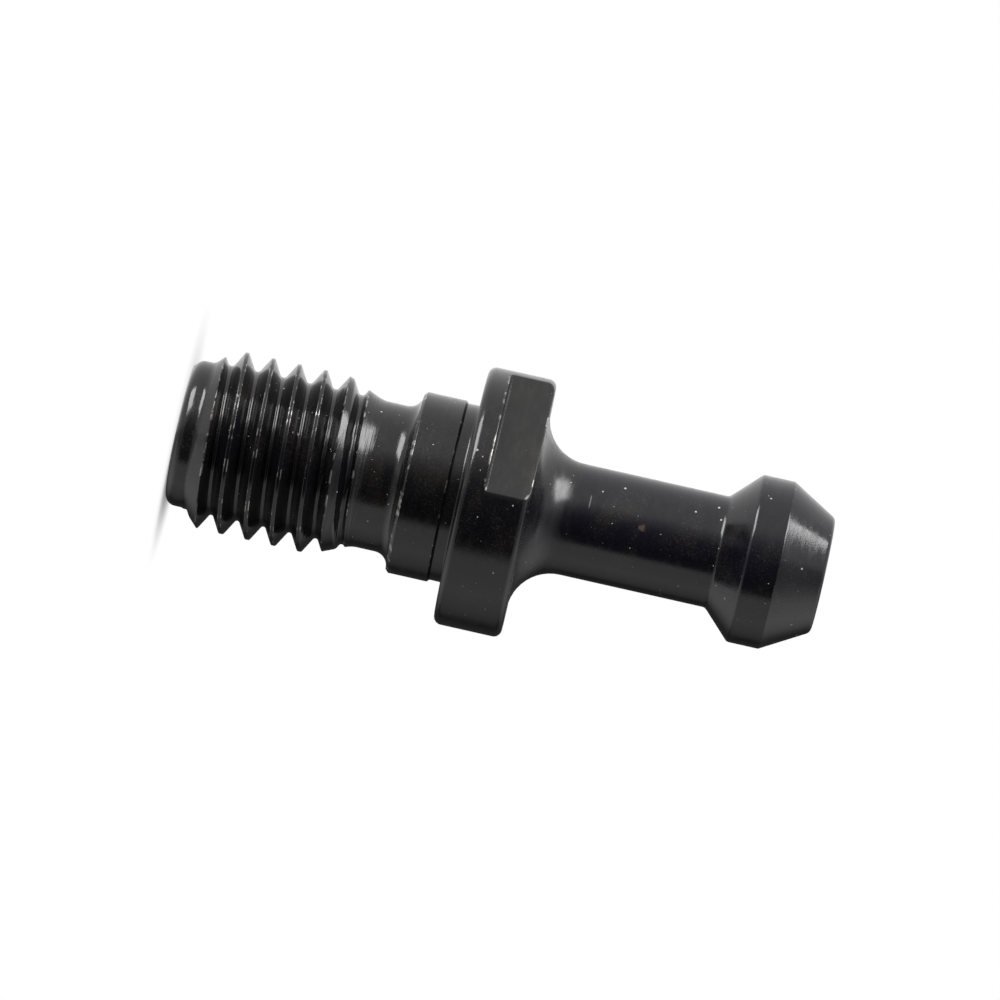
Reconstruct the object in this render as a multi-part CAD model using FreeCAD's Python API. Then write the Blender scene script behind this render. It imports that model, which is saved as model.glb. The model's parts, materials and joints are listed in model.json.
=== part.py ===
import FreeCAD, Part
import math
import os

# Pull stud turned from one bar of steel: M12 thread, pilot, flange with two wrench flats, neck and grip head.
# Millimetres. The axis is Z, from the face of the thread end (z = 0) up to the face of the head.

# Thread end
TIP_D = 9.70              # plain tip ahead of the thread
TIP_LENGTH = 1.30         # to the foot of the lead-in chamfer
TIP_BEVEL = 0.45
LEAD_ANGLE = 45.0         # lead-in chamfer, from the axis

# Thread: right-hand, metric coarse
THREAD_D = 11.96
PITCH = 1.75
CREST_FLAT = PITCH / 8
GROOVE_DEPTH = 0.6134 * PITCH
FLANK_ANGLE = 30.0        # each flank, from square to the axis
THREAD_LENGTH = 8.70      # from the foot of the chamfer to the start of the run-out
THREAD_ENTRY = 1.80       # the groove sets in this far before the foot of the chamfer, on the +X side
CUTTER_MARGIN = 0.10      # the cutter stands this much outside the crests and behind the run-out

# Run-out cone and relief behind the thread
RUNOUT_ANGLE = 23.3       # from the axis
RELIEF_D = 9.76
RELIEF_LENGTH = 5.09      # from the start of the run-out to the pilot
RELIEF_ROUND = 0.95

# Pilot that centres the stud in its holder
PILOT_D = 12.12
PILOT_LENGTH = 2.78
PILOT_BEVEL = 0.20
UNDERCUT_D = 11.81
UNDERCUT_LENGTH = 0.98    # from the pilot to the flange

# Flange with two wrench flats
FLANGE_D = 17.23
FLANGE_THICKNESS = 4.52
FLANGE_BEVEL = 0.35
FLATS_ACROSS = 14.0
FLATS_LENGTH = 3.0        # milled in from the head side
FLATS_CORNER_ROUND = 0.20

# Neck and grip head
NECK_D = 7.44
NECK_LENGTH = 12.61       # from the flange to the foot of the clamp cone
NECK_ROUND = 2.88
CLAMP_ANGLE = 45.0        # clamp cone, from the axis
HEAD_D = 11.19
HEAD_LAND = 2.10
NOSE_ANGLE = 30.0         # from the axis
NOSE_LENGTH = 3.09
NOSE_BEVEL = 0.25

# Centre holes in both faces, for turning and grinding between centres
CENTRE_D = 1.6
CENTRE_MOUTH_D = 3.35
CENTRE_ANGLE = 30.0       # half of the 60 degree cone
CENTRE_DRILL_LENGTH = 0.9 # straight stretch under the cone


def slope(angle):
    return math.tan(math.radians(angle))


# Stations along the axis
Z_LEAD = TIP_LENGTH
Z_THREAD = Z_LEAD + (THREAD_D - TIP_D) / 2 / slope(LEAD_ANGLE)
Z_RUNOUT = Z_LEAD + THREAD_LENGTH
Z_RELIEF = Z_RUNOUT + (THREAD_D - RELIEF_D) / 2 / slope(RUNOUT_ANGLE)
Z_PILOT = Z_RUNOUT + RELIEF_LENGTH
Z_UNDERCUT = Z_PILOT + PILOT_LENGTH
Z_SEAT = Z_UNDERCUT + UNDERCUT_LENGTH
Z_FACE = Z_SEAT + FLANGE_THICKNESS
Z_CLAMP = Z_FACE + NECK_LENGTH
Z_HEAD = Z_CLAMP + (HEAD_D - NECK_D) / 2 / slope(CLAMP_ANGLE)
Z_NOSE = Z_HEAD + HEAD_LAND
Z_END = Z_NOSE + NOSE_LENGTH

ORIGIN = FreeCAD.Vector(0, 0, 0)
AXIS = FreeCAD.Vector(0, 0, 1)


def centre_hole():
    """Points (radius, depth) of a centre hole, from the axis at its bottom out to its mouth."""
    cone_depth = (CENTRE_MOUTH_D - CENTRE_D) / 2 / slope(CENTRE_ANGLE)
    bottom = cone_depth + CENTRE_DRILL_LENGTH
    return [(0, bottom), (CENTRE_D / 2, bottom), (CENTRE_D / 2, cone_depth), (CENTRE_MOUTH_D / 2, 0)]


def outline_to_pilot():
    """Points (radius, z) from the axis in the thread end to the foot of the relief's fillet."""
    return centre_hole() + [
        (TIP_D / 2 - TIP_BEVEL, 0),
        (TIP_D / 2, TIP_BEVEL),
        (TIP_D / 2, Z_LEAD),
        (THREAD_D / 2, Z_THREAD),
        (THREAD_D / 2, Z_RUNOUT),
        (RELIEF_D / 2, Z_RELIEF),
        (RELIEF_D / 2, Z_PILOT - RELIEF_ROUND),
    ]


def outline_to_flange():
    """Points (radius, z) from the head of the relief's fillet to the start of the neck's fillet."""
    pilot_step = (PILOT_D - UNDERCUT_D) / 2
    return [
        (RELIEF_D / 2 + RELIEF_ROUND, Z_PILOT),
        (PILOT_D / 2 - PILOT_BEVEL, Z_PILOT),
        (PILOT_D / 2, Z_PILOT + PILOT_BEVEL),
        (PILOT_D / 2, Z_UNDERCUT),
        (UNDERCUT_D / 2, Z_UNDERCUT + pilot_step),
        (UNDERCUT_D / 2, Z_SEAT),
        (FLANGE_D / 2 - FLANGE_BEVEL, Z_SEAT),
        (FLANGE_D / 2, Z_SEAT + FLANGE_BEVEL),
        (FLANGE_D / 2, Z_FACE - FLANGE_BEVEL),
        (FLANGE_D / 2 - FLANGE_BEVEL, Z_FACE),
        (NECK_D / 2 + NECK_ROUND, Z_FACE),
    ]


def outline_to_head():
    """Points (radius, z) from the end of the neck's fillet to the axis in the head."""
    nose_end = HEAD_D / 2 - NOSE_LENGTH * slope(NOSE_ANGLE)
    hole = [(radius, Z_END - depth) for radius, depth in reversed(centre_hole())]
    return [
        (NECK_D / 2, Z_FACE + NECK_ROUND),
        (NECK_D / 2, Z_CLAMP),
        (HEAD_D / 2, Z_HEAD),
        (HEAD_D / 2, Z_NOSE),
        (nose_end + NOSE_BEVEL * slope(NOSE_ANGLE), Z_END - NOSE_BEVEL),
        (nose_end - NOSE_BEVEL, Z_END),
    ] + hole


def straight_run(points):
    """Edges through the points (radius, z); a point that falls on the one before it is passed over."""
    corners = [FreeCAD.Vector(radius, 0, z) for radius, z in points]
    pairs = [(a, b) for a, b in zip(corners, corners[1:]) if a.distanceToPoint(b) > 1e-6]
    return [Part.LineSegment(a, b).toShape() for a, b in pairs]


def fillet(start, end, centre, radius):
    """Quarter arc in the section plane from start to end, each a point (radius, z).

    It is held as a spline, because the fillet revolved from that takes fewer facets than a torus.
    """
    middle_direction = FreeCAD.Vector(start[0] + end[0] - 2 * centre[0], 0, start[1] + end[1] - 2 * centre[1])
    middle = FreeCAD.Vector(centre[0], 0, centre[1]) + middle_direction.normalize() * radius
    arc = Part.Arc(FreeCAD.Vector(start[0], 0, start[1]), middle, FreeCAD.Vector(end[0], 0, end[1]))
    return arc.toBSpline().toShape()


def turned_blank():
    to_pilot = outline_to_pilot()
    to_flange = outline_to_flange()
    to_head = outline_to_head()
    relief_centre = (to_flange[0][0], to_pilot[-1][1])
    neck_centre = (to_flange[-1][0], to_head[0][1])
    edges = straight_run(to_pilot)
    edges.append(fillet(to_pilot[-1], to_flange[0], relief_centre, RELIEF_ROUND))
    edges += straight_run(to_flange)
    edges.append(fillet(to_flange[-1], to_head[0], neck_centre, NECK_ROUND))
    edges += straight_run(to_head)
    edges += straight_run([to_head[-1], to_pilot[0]])
    return Part.Face(Part.Wire(edges)).revolve(ORIGIN, AXIS, 360)


def helix(z_start, z_stop):
    """Right-hand helix at the crests in whole turns, one edge to a turn, so that its radius stays exact."""
    turns = math.ceil((z_stop - z_start) / PITCH)
    one_turn = Part.makeHelix(PITCH, PITCH, THREAD_D / 2)
    path = []
    for i in range(turns):
        turn = one_turn.copy()
        turn.translate(AXIS * (z_start + i * PITCH))
        path += turn.Edges
    return Part.Wire(path)


def thread_groove():
    """The groove between the crests, swept along its helix.

    Its bottom lies outside the tip and the relief, so it runs out on the lead-in chamfer and the run-out cone.
    """
    z_start = Z_LEAD - THREAD_ENTRY
    half_crest_gap = (PITCH - CREST_FLAT) / 2
    outer_r = THREAD_D / 2 + CUTTER_MARGIN
    half_mouth = half_crest_gap + CUTTER_MARGIN * slope(FLANK_ANGLE)
    bottom_r = THREAD_D / 2 - GROOVE_DEPTH
    half_bottom = half_crest_gap - GROOVE_DEPTH * slope(FLANK_ANGLE)
    section = [
        FreeCAD.Vector(outer_r, 0, z_start + half_mouth),
        FreeCAD.Vector(bottom_r, 0, z_start + half_bottom),
        FreeCAD.Vector(bottom_r, 0, z_start - half_bottom),
        FreeCAD.Vector(outer_r, 0, z_start - half_mouth),
    ]
    outline = Part.makePolygon(section + section[:1])
    path = helix(z_start, Z_RELIEF + half_bottom + CUTTER_MARGIN)
    return path.makePipeShell([outline], True, True)


def flat_cutter():
    """Milling cut for the wrench flat on the +Y side, with a small round in its inner corner."""
    z_step = Z_FACE - FLATS_LENGTH
    corner = FreeCAD.Vector(-FLANGE_D, FLATS_ACROSS / 2, z_step)
    block = Part.makeBox(2 * FLANGE_D, FLANGE_D, 2 * FLATS_LENGTH, corner)
    corner_line = Part.Vertex(0, FLATS_ACROSS / 2, z_step)
    inner_corner = min(block.Edges, key=lambda edge: edge.distToShape(corner_line)[0])
    return block.makeFillet(FLATS_CORNER_ROUND, [inner_corner])


def pull_stud():
    near_flat = flat_cutter()
    far_flat = near_flat.copy()
    far_flat.rotate(ORIGIN, AXIS, 180)
    return turned_blank().cut(thread_groove()).cut([near_flat, far_flat])


def main():
    os.makedirs("parts", exist_ok=True)
    pull_stud().exportStep("parts/pull_stud.step")


main()
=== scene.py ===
import json
import math

import bpy
import numpy as np
from mathutils import Matrix, Vector


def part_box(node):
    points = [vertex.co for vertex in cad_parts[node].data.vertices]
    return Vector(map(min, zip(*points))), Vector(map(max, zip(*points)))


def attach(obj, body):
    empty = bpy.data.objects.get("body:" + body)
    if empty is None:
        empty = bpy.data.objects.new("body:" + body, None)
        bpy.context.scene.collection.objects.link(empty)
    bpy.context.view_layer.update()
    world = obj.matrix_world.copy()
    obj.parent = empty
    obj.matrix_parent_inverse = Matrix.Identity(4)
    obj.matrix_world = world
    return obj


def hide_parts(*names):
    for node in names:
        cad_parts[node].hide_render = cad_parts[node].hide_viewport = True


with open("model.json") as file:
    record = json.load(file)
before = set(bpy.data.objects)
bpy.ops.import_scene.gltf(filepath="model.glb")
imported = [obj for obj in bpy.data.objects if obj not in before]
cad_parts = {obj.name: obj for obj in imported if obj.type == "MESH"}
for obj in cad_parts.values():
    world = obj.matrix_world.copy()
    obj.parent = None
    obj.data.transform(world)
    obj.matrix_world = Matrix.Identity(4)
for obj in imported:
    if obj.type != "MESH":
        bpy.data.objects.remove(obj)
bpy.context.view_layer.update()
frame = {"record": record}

# Pull stud of black-oxide steel, standing on its thread end.
# Shapes are in millimetres until the mesh is made. The camera, the studio and the finish are in metres.
MM = 0.001
MOUNTS = {mount["name"]: mount for mount in frame["record"]["mounts"]}
_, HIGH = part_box("pull_stud")

# Sizes taken from the frame
Z_END = HIGH.z / MM
FLANGE_R = HIGH.x / MM
THREAD_R = MOUNTS["thread"]["dims"]["r_mm"]
PILOT_R = MOUNTS["pilot"]["dims"]["r_mm"]
HEAD_R = MOUNTS["head"]["dims"]["r_mm"]
FLAT_Y = MOUNTS["wrench_flat_near"]["pos_m"][1] / MM
Z_SEAT = MOUNTS["flange_seat"]["pos_m"][2] / MM
HEAD_MIDDLE = MOUNTS["head"]["pos_m"][2] / MM
HEAD_LENGTH = MOUNTS["head"]["dims"]["length_mm"]

# Stations and radii along the axis
TIP_R = 4.85
Z_LEAD = 1.30
Z_RUNOUT = 10.0
RUNOUT_SLOPE = math.tan(math.radians(23.3))
RELIEF_R = 4.88
Z_PILOT = 15.09
PILOT_BEVEL = 0.20
Z_UNDERCUT = 17.87
UNDERCUT_R = 5.905
FLANGE_THICKNESS = 4.52
FLATS_LENGTH = 3.0        # milled in from the head side
Z_FACE = Z_SEAT + FLANGE_THICKNESS
Z_STEP = Z_FACE - FLATS_LENGTH
NECK_R = 3.72
Z_HEAD = HEAD_MIDDLE - HEAD_LENGTH / 2
Z_NOSE = HEAD_MIDDLE + HEAD_LENGTH / 2
Z_CLAMP = Z_HEAD - (HEAD_R - NECK_R)  # a cone of 45 degrees
NOSE_SLOPE = math.tan(math.radians(30))
NOSE_END_R = HEAD_R - (Z_END - Z_NOSE) * NOSE_SLOPE
CENTRE_R = 0.8
CENTRE_MOUTH_R = 1.675
CENTRE_SLOPE = math.tan(math.radians(30))
CENTRE_CONE = (CENTRE_MOUTH_R - CENTRE_R) / CENTRE_SLOPE
CENTRE_DRILL = 0.9        # straight stretch under the cone
CENTRE_DEPTH = CENTRE_CONE + CENTRE_DRILL

# Rounds
TIP_ROUND = 0.70
RELIEF_ROUND = 0.95
UNDERCUT_ROUND = 0.20
FLANGE_ROUND = 0.53
STEP_EDGE_ROUND = 0.06
STEP_CORNER_ROUND = 0.20
FLAT_EDGE_ROUND = 0.08
NECK_ROUND = 2.88
CLAMP_ROUND = 0.40
HEAD_ROUND = 0.35
NOSE_EDGE_ROUND = 0.15
NOSE_ROUND = 0.45
SMALL_ROUND = 0.04
CENTRE_BOTTOM_ROUND = 0.10
EDGE_WIDTH = 0.05         # how far a worn edge may reach on to the surface beside it

# Thread: right-hand, with a groove of full-radius root
PITCH = 1.75
CREST_FLAT = PITCH / 8
FLANK_ANGLE = math.radians(30)
FLANK_SLOPE = 1 / math.tan(FLANK_ANGLE)
ROOT_ROUND = 0.1443 * PITCH
ROOT_HALF = ROOT_ROUND * math.cos(FLANK_ANGLE)  # from the groove's middle to the foot of the flank
CREST_CORNER = (PITCH - CREST_FLAT) / 2   # from the groove's middle to the crest's corner
GROOVE_Z = -0.50          # middle of the groove on the +X side, give or take whole pitches
CREST_BLEND = 0.045       # how far the crest's corners blend
LEAD_FOOT_BLEND = 0.20
RUNOUT_FOOT_BLEND = 0.17
THREAD_ZONE = (0.95, 13.2)  # plain rings close the helical grid here

# Grid
COLUMN_STEP = 2.0         # degrees between columns
COLUMN_GAP = 0.7          # a regular column nearer than this to a flat's corner is left out
ROOT_ROWS, FLANK_ROWS, CREST_ROWS = 9, 7, 3
CORNER_ROWS = (-0.045, -0.022, -0.008, 0.008, 0.022)  # rows about each crest corner, along the axis
ROW_GAP = 0.01            # helical rows nearer than this to a closing ring are left out
STEP_MARGIN = 0.25        # the plain rings of the flange end this far under the milled step
STEP_SPREAD = 0.20        # height that the step's rings spread over where there is no step
FLAT_BAND = (-0.05, 0.02)  # a point this near to a flat's plane, below or above it, is on the flat
FACE_END_R = NECK_R + NECK_ROUND + 0.01   # the flange's face ends just outside the neck's fillet


def smooth_min(a, b, blend):
    """The lower of two surfaces, with the corner between them eased over the blend."""
    return np.minimum(a, b) - np.maximum(blend - np.abs(a - b), 0) ** 2 / (4 * blend)


def smooth_max(a, b, blend):
    """The higher of two surfaces, eased in the same way."""
    return np.maximum(a, b) + np.maximum(blend - np.abs(a - b), 0) ** 2 / (4 * blend)


# ---------------------------------------------------------------- turned outline

def rounded(corners, step=15.0):
    """Points (radius, z) of an outline whose corners (radius, z, round) are eased by arcs.

    The points on an arc are at most step degrees apart.
    """
    points = [corners[0][:2]]
    for before, corner, after in zip(corners, corners[1:], corners[2:]):
        here = Vector(corner[:2])
        back = (Vector(before[:2]) - here).normalized()
        on = (Vector(after[:2]) - here).normalized()
        turn = math.pi - back.angle(on)
        if corner[2] == 0 or turn < 1e-4:
            points.append(tuple(here))
            continue
        centre = here + (back + on).normalized() * corner[2] / math.cos(turn / 2)
        start = here + back * corner[2] * math.tan(turn / 2) - centre
        side = math.copysign(1, start.cross(here - centre))
        count = max(2, math.ceil(math.degrees(turn) / step))
        for i in range(count + 1):
            angle = side * turn * i / count
            arm = Matrix.Rotation(angle, 2) @ start
            points.append(tuple(centre + arm))
    points.append(corners[-1][:2])
    return points


def divided(points, longest):
    """The outline with each long run cut into parts, and a short part beside each of its corners."""
    result = [points[0]]
    for a, b in zip(points, points[1:]):
        length = math.hypot(b[0] - a[0], b[1] - a[1])
        count = max(1, math.ceil(length / longest))
        stops = [i / count for i in range(1, count + 1)]
        if length > 8 * EDGE_WIDTH:
            stops = sorted(stops + [EDGE_WIDTH / length, 1 - EDGE_WIDTH / length])
        for t in stops:
            result.append((a[0] + (b[0] - a[0]) * t, a[1] + (b[1] - a[1]) * t))
    return result


def tip_outline():
    return rounded([
        (0, CENTRE_DEPTH, 0),
        (CENTRE_R, CENTRE_DEPTH, CENTRE_BOTTOM_ROUND),
        (CENTRE_R, CENTRE_CONE, SMALL_ROUND),
        (CENTRE_MOUTH_R, 0, 2 * SMALL_ROUND),
        (TIP_R, 0, TIP_ROUND),
        (TIP_R, THREAD_ZONE[0], 0),
    ])


def pilot_outline():
    pilot_step = PILOT_R - UNDERCUT_R
    return rounded([
        (RELIEF_R, THREAD_ZONE[1], 0),
        (RELIEF_R, Z_PILOT, RELIEF_ROUND),
        (PILOT_R - PILOT_BEVEL, Z_PILOT, SMALL_ROUND),
        (PILOT_R, Z_PILOT + PILOT_BEVEL, SMALL_ROUND),
        (PILOT_R, Z_UNDERCUT, SMALL_ROUND),
        (UNDERCUT_R, Z_UNDERCUT + pilot_step, SMALL_ROUND),
        (UNDERCUT_R, Z_SEAT, UNDERCUT_ROUND),
        (FLANGE_R, Z_SEAT, FLANGE_ROUND),
        (FLANGE_R, Z_STEP - STEP_MARGIN, 0),
    ], 12)


def head_outline():
    return rounded([
        (FACE_END_R, Z_FACE, 0),
        (NECK_R, Z_FACE, NECK_ROUND),
        (NECK_R, Z_CLAMP, CLAMP_ROUND),
        (HEAD_R, Z_HEAD, HEAD_ROUND),
        (HEAD_R, Z_NOSE, NOSE_EDGE_ROUND),
        (NOSE_END_R, Z_END, NOSE_ROUND),
        (CENTRE_MOUTH_R, Z_END, 2 * SMALL_ROUND),
        (CENTRE_R, Z_END - CENTRE_CONE, SMALL_ROUND),
        (CENTRE_R, Z_END - CENTRE_DEPTH, CENTRE_BOTTOM_ROUND),
        (0, Z_END - CENTRE_DEPTH, 0),
    ], 7.5)


# ---------------------------------------------------------------- columns round the axis

def flat_corner(distance):
    """Angle in degrees from +X at which a plane at this distance from the axis meets the flange."""
    return math.degrees(math.asin(distance / FLANGE_R))


def columns():
    """Angles of the grid's columns, with extra ones where the flats' corners fall."""
    deep = flat_corner(FLAT_Y)
    shallow = flat_corner(FLAT_Y + STEP_CORNER_ROUND)
    quarter = [deep - 0.4, deep, deep + 0.4, shallow, shallow + 0.6, shallow + 1.3]
    half = quarter + [180 - angle for angle in quarter]
    special = half + [180 + angle for angle in half]
    regular = [i * COLUMN_STEP for i in range(round(360 / COLUMN_STEP))]
    kept = [a for a in regular if min(abs(a - b) for b in special) > COLUMN_GAP]
    return np.radians(np.array(sorted(kept + special)))


PHI = columns()
COUNT = len(PHI)
FLAT_REACH = 1 / np.maximum(np.abs(np.sin(PHI)), 1e-6)  # how far a plane at distance 1 is along each column


class Grid:
    """Vertices in cylindrical form and faces between rows of them."""

    def __init__(self):
        self.points = []
        self.faces = []

    def add(self, radius, z, phi):
        self.points.append((radius * math.cos(phi), radius * math.sin(phi), z))
        return len(self.points) - 1

    def ring(self, radii, heights):
        return [self.add(radii[j], heights[j], PHI[j]) for j in range(COUNT)]

    def plain_ring(self, radius, z):
        return self.ring(np.full(COUNT, radius), np.full(COUNT, z))

    def join(self, lower, upper):
        for j in range(COUNT):
            k = (j + 1) % COUNT
            self.faces.append((lower[j], lower[k], upper[k], upper[j]))

    def turned(self, points, below=None):
        """Rings through the outline's points, joined to the ring below; an axis point closes with a fan."""
        last = below
        for radius, z in points:
            if radius < 1e-6:
                apex = self.add(0, z, 0)
                if last is None:
                    last = apex
                else:
                    self.faces += [(last[j], last[(j + 1) % COUNT], apex) for j in range(COUNT)]
                continue
            ring = self.plain_ring(radius, z)
            if isinstance(last, int):
                self.faces += [(last, ring[(j + 1) % COUNT], ring[j]) for j in range(COUNT)]
            elif last is not None:
                self.join(last, ring)
            last = ring
        return last


# ---------------------------------------------------------------- thread

def envelope(z):
    """Radius of the turned blank from the tip to the relief."""
    lead = smooth_max(TIP_R, TIP_R + (z - Z_LEAD), LEAD_FOOT_BLEND)
    run_out = smooth_max(RELIEF_R, THREAD_R - (z - Z_RUNOUT) * RUNOUT_SLOPE, RUNOUT_FOOT_BLEND)
    return smooth_min(smooth_min(lead, THREAD_R, CREST_BLEND), run_out, CREST_BLEND)


def groove(z, phi):
    """Radius of the thread groove's surface, carried on outward past the crests."""
    turn = (z - GROOVE_Z - PITCH * phi / (2 * math.pi)) / PITCH
    across = np.abs(turn - np.round(turn)) * PITCH
    flank_foot = THREAD_R - (CREST_CORNER - ROOT_HALF) * FLANK_SLOPE
    root_centre = flank_foot + ROOT_ROUND / 2
    root = root_centre - np.sqrt(np.maximum(ROOT_ROUND ** 2 - across ** 2, 0))
    return np.where(across < ROOT_HALF, root, flank_foot + (across - ROOT_HALF) * FLANK_SLOPE)


def thread_rows():
    """Offsets along the axis, within one pitch from the groove's middle, of the helical rows."""
    corner = CREST_CORNER + np.array(CORNER_ROWS)
    root = np.linspace(-ROOT_HALF, ROOT_HALF, ROOT_ROWS)
    flank = np.linspace(ROOT_HALF, corner[0], FLANK_ROWS + 2)[1:-1]
    top = np.linspace(corner[-1], PITCH / 2, CREST_ROWS + 1)[1:]
    rising = np.concatenate([flank, corner, top])
    falling = PITCH - rising[:-1][::-1]
    return np.concatenate([root, rising, falling])


def thread_radius(z, phi):
    return smooth_min(envelope(z), groove(z, phi), CREST_BLEND)


def add_thread(grid, below):
    """Helical rows between two plain rings, so that every crest and root lies along the grid."""
    rows = thread_rows()
    per_pitch = len(rows)
    low, high = THREAD_ZONE
    pitches = range(-2, math.ceil(high / PITCH) + 2)
    row_z = np.concatenate([GROOVE_Z + PITCH * n + rows for n in pitches])
    above = grid.plain_ring(RELIEF_R, high)
    vertex = []
    for j in range(COUNT):
        z = row_z + PITCH * PHI[j] / (2 * math.pi)
        inside = np.nonzero((z > low + ROW_GAP) & (z < high - ROW_GAP))[0]
        radius = thread_radius(z[inside], PHI[j])
        vertex.append({int(i): grid.add(r, h, PHI[j]) for i, r, h in zip(inside, radius, z[inside])})
    for j in range(COUNT):
        k = (j + 1) % COUNT
        shift = per_pitch if k == 0 else 0
        here = vertex[j]
        there = {i - shift: v for i, v in vertex[k].items()}
        first, last = min(here), max(there)
        for i in range(first, last):
            grid.faces.append((here[i], there[i], there[i + 1], here[i + 1]))
        entering = [there[i] for i in range(min(there), first)]
        grid.faces.append(tuple([below[j], below[k]] + entering + [there[first], here[first]]))
        leaving = [here[i] for i in range(max(here), last, -1)]
        grid.faces.append(tuple([here[last], there[last], above[k], above[j]] + leaving))
    return above


# ---------------------------------------------------------------- flange with flats

def clipped(radius, distance):
    """The circle of this radius with planes at this distance from the axis cutting it, column by column."""
    return smooth_min(np.full(COUNT, radius), distance * FLAT_REACH, SMALL_ROUND)


def add_flats(grid, below):
    """The flange from just under the milled step up to the neck's fillet."""
    shallow = (FLAT_Y + STEP_CORNER_ROUND) * FLAT_REACH
    width = np.maximum(FLANGE_R - shallow, 0)
    # 1 where the step has its full form, 0 where there is none
    full = np.clip(width / (2 * STEP_EDGE_ROUND), 0, 1)
    last = below

    def blended(radius, z, plain_z):
        heights = z * full + plain_z * (1 - full)
        return grid.ring(radius * full + FLANGE_R * (1 - full), heights)

    rings = []
    edge_steps = 4
    for i in range(edge_steps + 1):
        angle = math.pi / 2 * i / edge_steps
        radius = FLANGE_R - STEP_EDGE_ROUND * (1 - math.cos(angle))
        z = Z_STEP - STEP_EDGE_ROUND * (1 - math.sin(angle))
        rings.append((np.full(COUNT, radius), z))
    outer = FLANGE_R - STEP_EDGE_ROUND
    for share in (0.33, 0.67):
        rings.append((outer + (np.minimum(shallow, outer) - outer) * share, Z_STEP))
    for i, (radius, z) in enumerate(rings):
        plain_z = Z_STEP - STEP_SPREAD * (1 - i / len(rings))
        ring = blended(radius, z, plain_z)
        grid.join(last, ring)
        last = ring

    def upward(radius, z):
        nonlocal last
        ring = grid.ring(radius, np.full(COUNT, z))
        grid.join(last, ring)
        last = ring

    corner_steps = 6
    for i in range(corner_steps + 1):
        angle = math.pi / 2 * i / corner_steps
        distance = FLAT_Y + STEP_CORNER_ROUND * (1 - math.sin(angle))
        upward(clipped(FLANGE_R, distance), Z_STEP + STEP_CORNER_ROUND * (1 - math.cos(angle)))
    round_start = Z_FACE - FLANGE_ROUND
    flat_rows = 5
    for z in np.linspace(Z_STEP + STEP_CORNER_ROUND, round_start, flat_rows)[1:]:
        upward(clipped(FLANGE_R, FLAT_Y), z)
    round_steps = 12
    for i in range(1, round_steps + 1):
        angle = math.pi / 2 * i / round_steps
        z = round_start + FLANGE_ROUND * math.sin(angle)
        radius = FLANGE_R - FLANGE_ROUND * (1 - math.cos(angle))
        drop = max(0.0, z - (Z_FACE - FLAT_EDGE_ROUND))
        edge = FLAT_EDGE_ROUND - math.sqrt(FLAT_EDGE_ROUND ** 2 - drop ** 2)
        reach = FLAT_Y * FLAT_REACH - edge
        upward(smooth_min(np.full(COUNT, radius), reach, SMALL_ROUND), z)
    flat_rim = FLAT_Y * FLAT_REACH - FLAT_EDGE_ROUND
    rim = smooth_min(np.full(COUNT, FLANGE_R - FLANGE_ROUND), flat_rim, SMALL_ROUND)
    for share in (0.3, 0.65, 1.0):
        upward(rim + (FACE_END_R - rim) * share, Z_FACE)
    return last


def stud_mesh():
    grid = Grid()
    tip = grid.turned(tip_outline())
    relief = add_thread(grid, tip)
    flange = grid.turned(divided(pilot_outline(), 1.0)[1:], relief)
    face = add_flats(grid, flange)
    grid.turned(divided(head_outline(), 1.2)[1:], face)
    mesh = bpy.data.meshes.new("stud_surface")
    mesh.from_pydata([tuple(c * MM for c in p) for p in grid.points], [], grid.faces)
    mesh.validate()
    mesh.update()
    return mesh


def mark_flats(mesh, name):
    """Attribute that is 1 on the two milled flats, inside their edges."""
    at = np.array([vertex.co for vertex in mesh.vertices]) / MM
    beside = np.abs(at[:, 1])
    below, above = FLAT_BAND
    milled = (at[:, 2] > Z_STEP + above) & (at[:, 2] < Z_FACE - FLAT_EDGE_ROUND)
    milled &= (beside > FLAT_Y + below) & (beside < FLAT_Y + above)
    milled &= np.hypot(at[:, 0], at[:, 1]) > FLAT_Y
    mesh.attributes.new(name, "FLOAT", "POINT").data.foreach_set("value", milled.astype(np.float32))


def mark_edges(mesh, name, sharp=0.16):
    """Attribute that rises to 1 where the surface bends outward round a small radius, as along a crest.

    It is 0 at twice the sharp radius and 1 at two thirds of it.
    """
    at = np.array([vertex.co for vertex in mesh.vertices]) / MM
    normals = np.array([vertex.normal for vertex in mesh.vertices])
    ends = np.array([edge.vertices[:] for edge in mesh.edges])
    along = at[ends[:, 1]] - at[ends[:, 0]]
    length2 = np.maximum((along ** 2).sum(1), 1e-9)
    bend = ((normals[ends[:, 1]] - normals[ends[:, 0]]) * along).sum(1) / length2
    curve = np.full(len(at), -1e9)
    np.maximum.at(curve, ends[:, 0], bend)
    np.maximum.at(curve, ends[:, 1], bend)
    worn = np.clip(curve * sharp - 0.5, 0, 1)
    mesh.attributes.new(name, "FLOAT", "POINT").data.foreach_set("value", worn.astype(np.float32))


def shade(stud):
    stud.data.shade_smooth()
    stud.data.set_sharp_from_angle(angle=math.radians(40))
    normals = stud.modifiers.new("normals", "WEIGHTED_NORMAL")
    normals.keep_sharp = True


stud = bpy.data.objects.new("turned_stud", stud_mesh())
bpy.context.scene.collection.objects.link(stud)
shade(stud)
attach(stud, "root")
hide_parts("pull_stud")


# ---------------------------------------------------------------- camera

VIEW_AZIMUTH = math.radians(39.4)
VIEW_ELEVATION = math.radians(0.75)
VIEW_ROLL = math.radians(12.68)     # the stud's head end dips this far in the picture
VIEW_DISTANCE = 0.430
PICTURE_SCALE = 15.3                # image units of a thousandth of the width to a millimetre at the axis
TARGET_Z = 21.39 * MM
TARGET_RISE = 0.195 * MM

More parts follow.
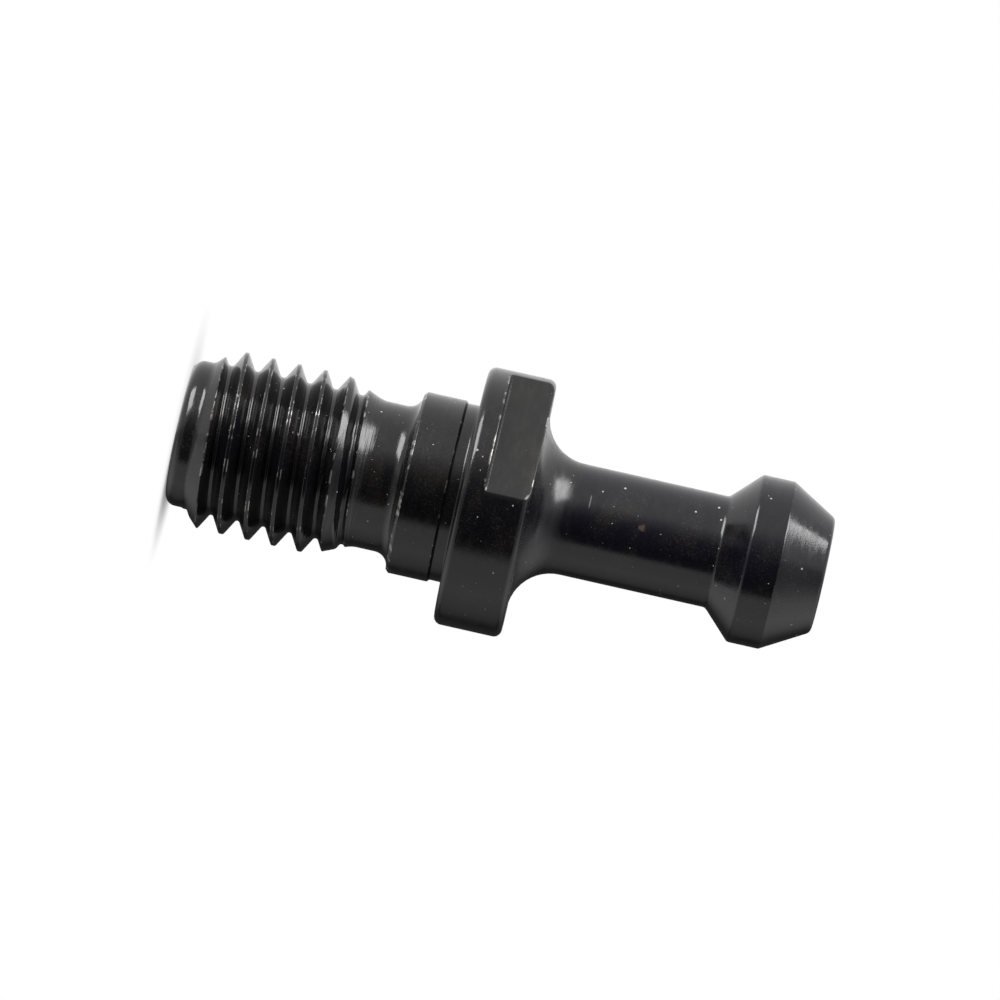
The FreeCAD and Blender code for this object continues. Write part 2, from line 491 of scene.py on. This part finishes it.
SIDE = Vector((-math.cos(VIEW_AZIMUTH), -math.sin(VIEW_AZIMUTH), 0))   # up in the picture, square to the axis
BACK = Vector((math.sin(VIEW_AZIMUTH) * math.cos(VIEW_ELEVATION),
               -math.cos(VIEW_AZIMUTH) * math.cos(VIEW_ELEVATION),
               math.sin(VIEW_ELEVATION)))                              # from the stud to the camera
ALONG = SIDE.cross(BACK)                                               # the axis as the picture shows it


def add_camera():
    data = bpy.data.cameras.new("camera")
    data.sensor_width = 36
    data.lens = PICTURE_SCALE * VIEW_DISTANCE / MM * data.sensor_width / 1000
    data.clip_start = 0.01
    camera = bpy.data.objects.new("camera", data)
    right = ALONG * math.cos(VIEW_ROLL) + SIDE * math.sin(VIEW_ROLL)
    up = SIDE * math.cos(VIEW_ROLL) - ALONG * math.sin(VIEW_ROLL)
    place = Vector((0, 0, TARGET_Z)) + SIDE * TARGET_RISE + BACK * VIEW_DISTANCE
    rotation = Matrix((right, up, BACK)).transposed().to_4x4()
    camera.matrix_world = Matrix.Translation(place) @ rotation
    bpy.context.scene.collection.objects.link(camera)
    bpy.context.scene.camera = camera


add_camera()


# ---------------------------------------------------------------- material

MIX_A, MIX_B, MIX_RESULT = 6, 7, 2   # the Mix node's sockets for colours


class Nodes:
    """A short way to build a node tree: every call returns the new node's output socket."""

    def __init__(self, material):
        material.use_nodes = True
        self.tree = material.node_tree
        self.shader = self.tree.nodes["Principled BSDF"]

    def put(self, socket, value):
        if isinstance(value, bpy.types.NodeSocket):
            self.tree.links.new(value, socket)
        else:
            socket.default_value = value

    def math(self, operation, a, b=0.0):
        node = self.tree.nodes.new("ShaderNodeMath")
        node.operation = operation
        self.put(node.inputs[0], a)
        self.put(node.inputs[1], b)
        return node.outputs[0]

    def ramp(self, value, low, high, start=0.0, stop=1.0):
        """From start at low to stop at high, eased and held outside."""
        node = self.tree.nodes.new("ShaderNodeMapRange")
        node.interpolation_type = "SMOOTHSTEP"
        for socket, number in zip(node.inputs, (value, low, high, start, stop)):
            self.put(socket, number)
        return node.outputs[0]

    def band(self, value, rise, fall):
        """0 below the pair rise and above the pair fall (mm), and 1 between them."""
        rising = self.ramp(value, rise[0] * MM, rise[1] * MM)
        return self.math("MULTIPLY", rising, self.ramp(value, fall[0] * MM, fall[1] * MM, 1.0, 0.0))

    def mix(self, factor, a, b):
        node = self.tree.nodes.new("ShaderNodeMix")
        node.data_type = "RGBA"
        self.put(node.inputs[0], factor)
        self.put(node.inputs[MIX_A], a)
        self.put(node.inputs[MIX_B], b)
        return node.outputs[MIX_RESULT]

    def place(self):
        return self.tree.nodes.new("ShaderNodeTexCoord").outputs["Object"]

    def stretched(self, across, along):
        """The place, scaled across and along the stud's axis."""
        node = self.tree.nodes.new("ShaderNodeMapping")
        node.inputs["Scale"].default_value = (across, across, along)
        self.put(node.inputs["Vector"], self.place())
        return node.outputs[0]

    def noise(self, across, along=None, detail=2.0):
        node = self.tree.nodes.new("ShaderNodeTexNoise")
        node.inputs["Scale"].default_value = 1.0
        node.inputs["Detail"].default_value = detail
        self.put(node.inputs["Vector"], self.stretched(across, along or across))
        return node.outputs["Fac"]

    def specks(self, spacing, radius, share):
        """Small round specks, in a share of the cells of the given spacing (mm)."""
        node = self.tree.nodes.new("ShaderNodeTexVoronoi")
        node.inputs["Scale"].default_value = 1 / (spacing * MM)
        self.put(node.inputs["Vector"], self.place())
        parts = self.tree.nodes.new("ShaderNodeSeparateColor")
        self.put(parts.inputs[0], node.outputs["Color"])
        size = self.math("MULTIPLY", parts.outputs[1], radius / spacing)
        near = self.math("LESS_THAN", node.outputs["Distance"], size)
        return self.math("MULTIPLY", near, self.math("LESS_THAN", parts.outputs[0], share))

    def attribute(self, name):
        node = self.tree.nodes.new("ShaderNodeAttribute")
        node.attribute_name = name
        return node.outputs["Fac"]

    def distance(self, point):
        node = self.tree.nodes.new("ShaderNodeVectorMath")
        node.operation = "DISTANCE"
        self.put(node.inputs[0], self.place())
        self.put(node.inputs[1], point)
        return node.outputs["Value"]

    def height(self):
        node = self.tree.nodes.new("ShaderNodeSeparateXYZ")
        self.put(node.inputs[0], self.place())
        return node.outputs["Z"]

    def bump(self, height, strength, depth, normal=None):
        node = self.tree.nodes.new("ShaderNodeBump")
        node.inputs["Strength"].default_value = strength
        node.inputs["Distance"].default_value = depth
        self.put(node.inputs["Height"], height)
        if normal is not None:
            self.put(node.inputs["Normal"], normal)
        return node.outputs[0]


def on_neck(z, angle):
    """A point of the neck, by its height and its angle from the line to the camera."""
    a = math.radians(angle)
    side = BACK.xy.normalized() * math.cos(a) + SIDE.xy * math.sin(a)
    return (side.x * NECK_R * MM, side.y * NECK_R * MM, z * MM)


RUST_SPOT = on_neck(30.8, 7)
NECK_SCRATCH = on_neck(27.17, 22)

OXIDE = (0.0026, 0.0026, 0.0034, 1)
OXIDE_AT_HEAD = (0.0032, 0.0032, 0.0062, 1)
BROWN_CAST = (0.0085, 0.0066, 0.0056, 1)
PALE_GRAIN = (0.036, 0.036, 0.040, 1)
MILLED = (0.0075, 0.0068, 0.0058, 1)
BARE_STEEL = (0.30, 0.29, 0.27, 1)
DUST = (0.30, 0.30, 0.295, 1)
SCRATCH = (0.25, 0.25, 0.26, 1)
RUST = (0.16, 0.055, 0.018, 1)
RUST_STAIN = (0.028, 0.011, 0.006, 1)


def oxide_colour(n, z, milled, cloud, grain):
    """Dark oxide, bluer at the head, with a brown cast in clouds, a pale grain and duller milled flats."""
    colour = n.mix(n.ramp(z, (Z_FACE - 1) * MM, (Z_FACE + 1) * MM), OXIDE, OXIDE_AT_HEAD)
    colour = n.mix(n.ramp(cloud, 0.48, 0.72), colour, BROWN_CAST)
    grained = n.math("MULTIPLY", n.ramp(grain, 0.52, 0.82), n.ramp(cloud, 0.40, 0.62, 0.15, 0.65))
    colour = n.mix(grained, colour, PALE_GRAIN)
    return n.mix(n.math("MULTIPLY", milled, 0.6), colour, MILLED)


def dust_specks(n, cloud):
    """Specks all over the stud, and finer ones in clouds."""
    fine = n.math("MULTIPLY", n.specks(0.42, 0.05, 0.6), n.ramp(cloud, 0.44, 0.54))
    return n.math("MAXIMUM", n.specks(0.9, 0.085, 0.5), fine)


def scratch_line(n, z):
    """A short faint line on the neck, square to the axis."""
    off_line = n.math("ABSOLUTE", n.math("SUBTRACT", z, NECK_SCRATCH[2]))
    line = n.ramp(off_line, 0.015 * MM, 0.05 * MM, 1.0, 0.0)
    return n.math("MULTIPLY", line, n.ramp(n.distance(NECK_SCRATCH), 0.25 * MM, 0.55 * MM, 0.5, 0.0))


def oxide_roughness(n, z, milled, worn, loose):
    """Glossy oxide, duller on the flats, worn edges and neck fillet, and matt where it has dust or rust."""
    rough = n.ramp(n.noise(900, 2600, 3.0), 0.35, 0.7, 0.12, 0.22)
    fillet_end = Z_FACE + NECK_ROUND
    fillet = n.band(z, (Z_FACE - 0.4, Z_FACE), (fillet_end - 0.6, fillet_end + 0.6))
    for zone, extra in ((milled, 0.06), (worn, 0.12), (fillet, 0.10)):
        rough = n.math("ADD", rough, n.math("MULTIPLY", zone, extra))
    return n.math("MAXIMUM", rough, n.math("MULTIPLY", loose, 0.8))


def oxide_normal(n, z, grain):
    """Turning marks, deeper ones about the thread's run-out, and a fine grain."""
    run_out = n.band(z, (Z_RUNOUT - 0.8, Z_RUNOUT - 0.3), (Z_RUNOUT + 2.2, Z_RUNOUT + 3.4))
    normal = n.bump(n.noise(260, 15000, 1.0), 0.10, 0.012 * MM)
    normal = n.bump(n.math("MULTIPLY", n.noise(220, 8000, 2.0), run_out), 0.8, 0.05 * MM, normal)
    return n.bump(grain, 0.30, 0.010 * MM, normal)


def black_oxide():
    """Oil-dark oxide over turned steel, with worn edges, dust, a scratch and a rust spot."""
    material = bpy.data.materials.new("black_oxide")
    n = Nodes(material)
    z = n.height()
    milled = n.attribute("milled")
    cloud = n.noise(260, 420, 3.0)
    grain = n.noise(9000, 9000, 1.0)
    patches = n.ramp(n.noise(1500, 1500, 3.0), 0.52, 0.66)
    worn = n.math("MULTIPLY", n.ramp(n.attribute("edge"), 0.45, 0.95), patches)
    dust = dust_specks(n, cloud)
    spread = n.math("ADD", n.distance(RUST_SPOT), n.math("MULTIPLY", grain, 0.5 * MM))
    rust = n.ramp(spread, 0.30 * MM, 0.56 * MM, 1.0, 0.0)

    colour = oxide_colour(n, z, milled, cloud, grain)
    colour = n.mix(worn, colour, BARE_STEEL)
    colour = n.mix(dust, colour, DUST)
    colour = n.mix(scratch_line(n, z), colour, SCRATCH)
    colour = n.mix(rust, colour, RUST_STAIN)
    colour = n.mix(n.ramp(spread, 0.16 * MM, 0.30 * MM, 1.0, 0.0), colour, RUST)
    n.put(n.shader.inputs["Base Color"], colour)
    n.put(n.shader.inputs["Metallic"], n.math("MULTIPLY", worn, 0.9))
    loose = n.math("MAXIMUM", dust, rust)
    n.put(n.shader.inputs["Roughness"], oxide_roughness(n, z, milled, worn, loose))
    n.put(n.shader.inputs["Normal"], oxide_normal(n, z, grain))
    return material


mark_flats(stud.data, "milled")
mark_edges(stud.data, "edge")
stud.data.materials.append(black_oxide())


# ---------------------------------------------------------------- studio

CENTRE = Vector((0, 0, Z_END * MM / 2))
WORLD_LIGHT, WORLD_SEEN = 0.25, 1.0   # strength as a light of its own, and as seen or reflected


def direction(around, along):
    """Unit vector from the stud: degrees round its axis from the line to the camera, and towards its head."""
    b, g = math.radians(around), math.radians(along)
    out = BACK * math.cos(b) + SIDE * math.sin(b)
    return out * math.cos(g) + ALONG * math.sin(g)


def add_lamp(name, around, along, width, height, distance, radiance):
    data = bpy.data.lights.new(name, "AREA")
    data.shape = "RECTANGLE"
    data.size = width
    data.size_y = height
    data.energy = radiance * math.pi * width * height
    lamp = bpy.data.objects.new(name, data)
    outward = direction(around, along)
    across = ALONG.cross(outward).normalized()
    rotation = Matrix((outward.cross(-across), across, outward)).transposed().to_4x4()
    lamp.matrix_world = Matrix.Translation(CENTRE + outward * distance) @ rotation
    lamp.visible_camera = False
    bpy.context.scene.collection.objects.link(lamp)


def add_world():
    """White to the camera and in reflections, dim as a light of its own."""
    world = bpy.data.worlds.new("studio")
    world.use_nodes = True
    nodes, links = world.node_tree.nodes, world.node_tree.links
    rays = nodes.new("ShaderNodeLightPath")
    seen = rays.outputs["Is Camera Ray"]
    for name in ("Is Glossy Ray", "Is Transmission Ray"):
        either = nodes.new("ShaderNodeMath")
        either.operation = "MAXIMUM"
        links.new(rays.outputs[name], either.inputs[0])
        links.new(seen, either.inputs[1])
        seen = either.outputs[0]
    strength = nodes.new("ShaderNodeMapRange")
    strength.inputs["To Min"].default_value = WORLD_LIGHT
    strength.inputs["To Max"].default_value = WORLD_SEEN
    links.new(seen, strength.inputs["Value"])
    links.new(strength.outputs["Result"], nodes["Background"].inputs["Strength"])
    nodes["Background"].inputs["Color"].default_value = (1, 1, 1, 1)
    bpy.context.scene.world = world


# Brightness of the cards, chosen at these degrees round the axis from the line to the camera and graded
# between them: beside the stud, and towards its head and foot
CARDS_BESIDE = [
    (-180, 0.04), (-135, 0.05), (-108, 0.42), (-90, 0.68), (-52, 0.72), (-44, 0.06),
    (-30, 0.02), (0, 0.05), (14, 0.12), (30, 0.50), (42, 0.90), (60, 0.95), (180, 1.0),
]
CARDS_AT_ENDS = [
    (-180, 0.35), (-157, 0.42), (-134, 0.75), (-105, 1.05), (-75, 1.05), (-45, 0.55),
    (-25, 0.36), (5, 0.42), (20, 0.95), (180, 1.0),
]
CARDS_TURN = (18, 48)     # degrees towards an end, where the first list passes to the second
CARDS_REACH = 0.9


def card_light(around, along):
    """Brightness of the cards in this direction from the stud."""
    beside = np.interp(around, *zip(*CARDS_BESIDE))
    ends = np.interp(around, *zip(*CARDS_AT_ENDS))
    low, high = CARDS_TURN
    t = min(max((abs(along) - low) / (high - low), 0), 1)
    return beside + (ends - beside) * t * t * (3 - 2 * t)


def glow(name, attribute):
    material = bpy.data.materials.new(name)
    material.use_nodes = True
    nodes, links = material.node_tree.nodes, material.node_tree.links
    nodes.remove(nodes["Principled BSDF"])
    shine = nodes.new("ShaderNodeEmission")
    level = nodes.new("ShaderNodeAttribute")
    level.attribute_name = attribute
    links.new(level.outputs["Fac"], shine.inputs["Strength"])
    links.new(shine.outputs[0], nodes["Material Output"].inputs["Surface"])
    return material


def add_cards():
    """A shell of cards round the stud that only its gloss shows."""
    rounds, rises = 120, 45
    points, faces, light = [], [], []
    for i in range(rises + 1):
        along = -90 + 180 * i / rises
        for j in range(rounds + 1):
            around = -180 + 360 * j / rounds
            points.append(tuple(CENTRE + direction(around, along) * CARDS_REACH))
            light.append(float(card_light(around, along)))
    row = rounds + 1
    for i in range(rises):
        for j in range(rounds):
            corner = i * row + j
            faces.append((corner, corner + 1, corner + row + 1, corner + row))
    mesh = bpy.data.meshes.new("cards")
    mesh.from_pydata(points, [], faces)
    mesh.attributes.new("light", "FLOAT", "POINT").data.foreach_set("value", light)
    mesh.materials.append(glow("cards", "light"))
    cards = bpy.data.objects.new("cards", mesh)
    for rays in ("camera", "diffuse", "transmission", "volume_scatter", "shadow"):
        setattr(cards, "visible_" + rays, False)
    bpy.context.scene.collection.objects.link(cards)


FLOOR_PALE = 0.9          # colour of the floor beside the foot, where the shadow lies
FLOOR_NEAR, FLOOR_FAR = 0.002, 0.0095   # between these distances it passes to plain white
FLOOR_REACH = 6.0


def floor_material():
    """Pale and matt beside the foot, where the shadow lies, passing to plain white."""
    material = bpy.data.materials.new("floor")
    n = Nodes(material)
    n.shader.inputs["Base Color"].default_value = (FLOOR_PALE, FLOOR_PALE, FLOOR_PALE, 1)
    n.shader.inputs["Roughness"].default_value = 1.0
    n.shader.inputs["Specular IOR Level"].default_value = 0.0
    white = n.tree.nodes.new("ShaderNodeEmission")
    both = n.tree.nodes.new("ShaderNodeMixShader")
    n.put(both.inputs[0], n.ramp(n.distance((0, 0, 0)), FLOOR_NEAR, FLOOR_FAR))
    n.put(both.inputs[1], n.shader.outputs[0])
    n.put(both.inputs[2], white.outputs[0])
    n.put(n.tree.nodes["Material Output"].inputs["Surface"], both.outputs[0])
    return material


def add_floor():
    """A pale floor under the foot; lamps below its level shine past it."""
    mesh = bpy.data.meshes.new("floor")
    r = FLOOR_REACH
    mesh.from_pydata([(-r, -r, 0), (r, -r, 0), (r, r, 0), (-r, r, 0)], [], [(0, 1, 2, 3)])
    mesh.materials.append(floor_material())
    floor = bpy.data.objects.new("floor", mesh)
    for rays in ("diffuse", "glossy", "transmission", "shadow"):
        setattr(floor, "visible_" + rays, False)
    bpy.context.scene.collection.objects.link(floor)


add_lamp("box_at_head", around=60, along=37, width=0.36, height=0.40, distance=0.6, radiance=9.5)
add_lamp("box_at_foot", around=60, along=-33, width=0.34, height=0.40, distance=0.6, radiance=9.5)
add_world()
add_cards()
add_floor()
bpy.context.scene.view_settings.view_transform = "Standard"
